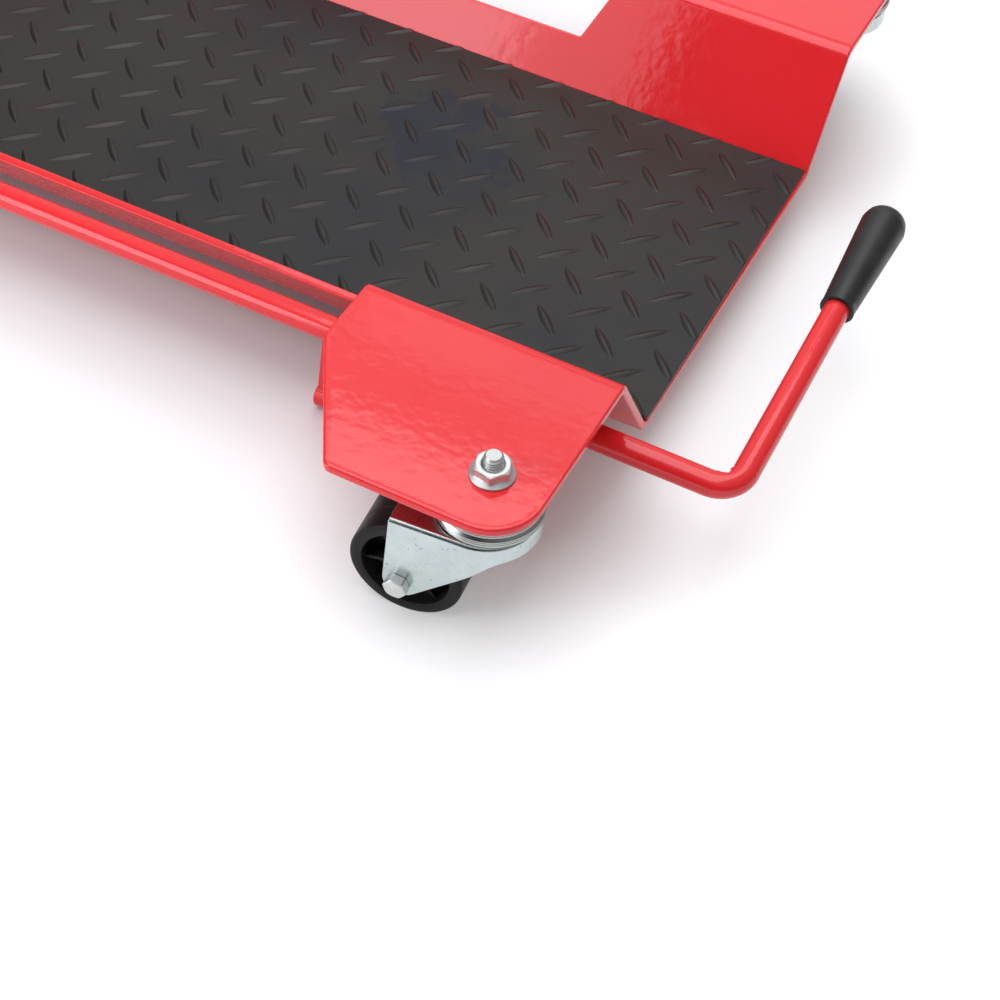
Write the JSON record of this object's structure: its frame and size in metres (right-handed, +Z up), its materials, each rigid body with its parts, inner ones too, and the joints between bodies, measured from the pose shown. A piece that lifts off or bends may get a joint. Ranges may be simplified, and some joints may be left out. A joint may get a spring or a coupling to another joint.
{
  "type": "motorcycle dolly",
  "caption": "Low bent-sheet dolly with a tread mat between leaning webs, swivel casters under its wings and a lever that turns a brake bar with floor feet.",
  "frame": {"origin": "on the ground under the middle of the whole footprint", "axes": "+X towards the lever end, +Y away from the brake bar, +Z up"},
  "size_m": [0.872, 0.5604, 0.109],
  "materials": {
    "red_paint": "gloss",
    "mat_rubber": "satin",
    "zinc_plate": "satin",
    "wheel_plastic": "satin",
    "grip_plastic": "satin"
  },
  "bodies": {
    "base": {"deck_pan": "red_paint", "deck_mat": "mat_rubber", "rod_gusset_1": "red_paint", "rod_gusset_2": "red_paint", "rod_gusset_3": "red_paint", "rod_gusset_4": "red_paint", "front_right_king_bolt": "zinc_plate", "front_right_flange_nut": "zinc_plate", "front_right_swivel_race": "zinc_plate", "front_right_thrust_washer": "zinc_plate", "front_left_king_bolt": "zinc_plate", "front_left_flange_nut": "zinc_plate", "front_left_swivel_race": "zinc_plate", "front_left_thrust_washer": "zinc_plate", "rear_right_king_bolt": "zinc_plate", "rear_right_flange_nut": "zinc_plate", "rear_right_swivel_race": "zinc_plate", "rear_right_thrust_washer": "zinc_plate", "rear_left_king_bolt": "zinc_plate", "rear_left_flange_nut": "zinc_plate", "rear_left_swivel_race": "zinc_plate", "rear_left_thrust_washer": "zinc_plate"},
    "brake": {"brake_rod": "red_paint", "lever_grip": "grip_plastic", "brake_foot_front": "red_paint", "brake_foot_rear": "red_paint"},
    "front_right_caster": {"front_right_race_balls": "zinc_plate", "front_right_fork": "zinc_plate", "front_right_axle_bolt": "zinc_plate", "front_right_axle_nut": "zinc_plate", "front_right_axle_sleeve": "zinc_plate"},
    "front_right_roller": {"front_right_wheel": "wheel_plastic"},
    "front_left_caster": {"front_left_race_balls": "zinc_plate", "front_left_fork": "zinc_plate", "front_left_axle_bolt": "zinc_plate", "front_left_axle_nut": "zinc_plate", "front_left_axle_sleeve": "zinc_plate"},
    "front_left_roller": {"front_left_wheel": "wheel_plastic"},
    "rear_right_caster": {"rear_right_race_balls": "zinc_plate", "rear_right_fork": "zinc_plate", "rear_right_axle_bolt": "zinc_plate", "rear_right_axle_nut": "zinc_plate", "rear_right_axle_sleeve": "zinc_plate"},
    "rear_right_roller": {"rear_right_wheel": "wheel_plastic"},
    "rear_left_caster": {"rear_left_race_balls": "zinc_plate", "rear_left_fork": "zinc_plate", "rear_left_axle_bolt": "zinc_plate", "rear_left_axle_nut": "zinc_plate", "rear_left_axle_sleeve": "zinc_plate"},
    "rear_left_roller": {"rear_left_wheel": "wheel_plastic"}
  },
  "joints": [
    {"name": "brake_turn", "type": "hinge", "parent": "base", "child": "brake", "pos_m": [-0.0222, -0.164, 0.0585], "axis": [1, 0, 0], "range_deg": [0, 45]},
    {"name": "front_right_swivel", "type": "hinge", "parent": "base", "child": "front_right_caster", "pos_m": [0.3278, -0.243, 0], "axis": [0, 0, 1], "continuous": true},
    {"name": "front_right_roll", "type": "hinge", "parent": "front_right_caster", "child": "front_right_roller", "pos_m": [0.29412, -0.24583, 0.03], "axis": [-0.0837, 0.9965, 0], "continuous": true},
    {"name": "front_left_swivel", "type": "hinge", "parent": "base", "child": "front_left_caster", "pos_m": [0.3278, 0.243, 0], "axis": [0, 0, 1], "continuous": true},
    {"name": "front_left_roll", "type": "hinge", "parent": "front_left_caster", "child": "front_left_roller", "pos_m": [0.29405, 0.24123, 0.03], "axis": [-0.0523, 0.9986, 0], "continuous": true},
    {"name": "rear_right_swivel", "type": "hinge", "parent": "base", "child": "rear_right_caster", "pos_m": [-0.3722, -0.243, 0], "axis": [0, 0, 1], "continuous": true},
    {"name": "rear_right_roll", "type": "hinge", "parent": "rear_right_caster", "child": "rear_right_roller", "pos_m": [-0.406, -0.243, 0.03], "axis": [0, 1, 0], "continuous": true},
    {"name": "rear_left_swivel", "type": "hinge", "parent": "base", "child": "rear_left_caster", "pos_m": [-0.3722, 0.243, 0], "axis": [0, 0, 1], "continuous": true},
    {"name": "rear_left_roll", "type": "hinge", "parent": "rear_left_caster", "child": "rear_left_roller", "pos_m": [-0.406, 0.243, 0.03], "axis": [0, 1, 0], "continuous": true}
  ]
}
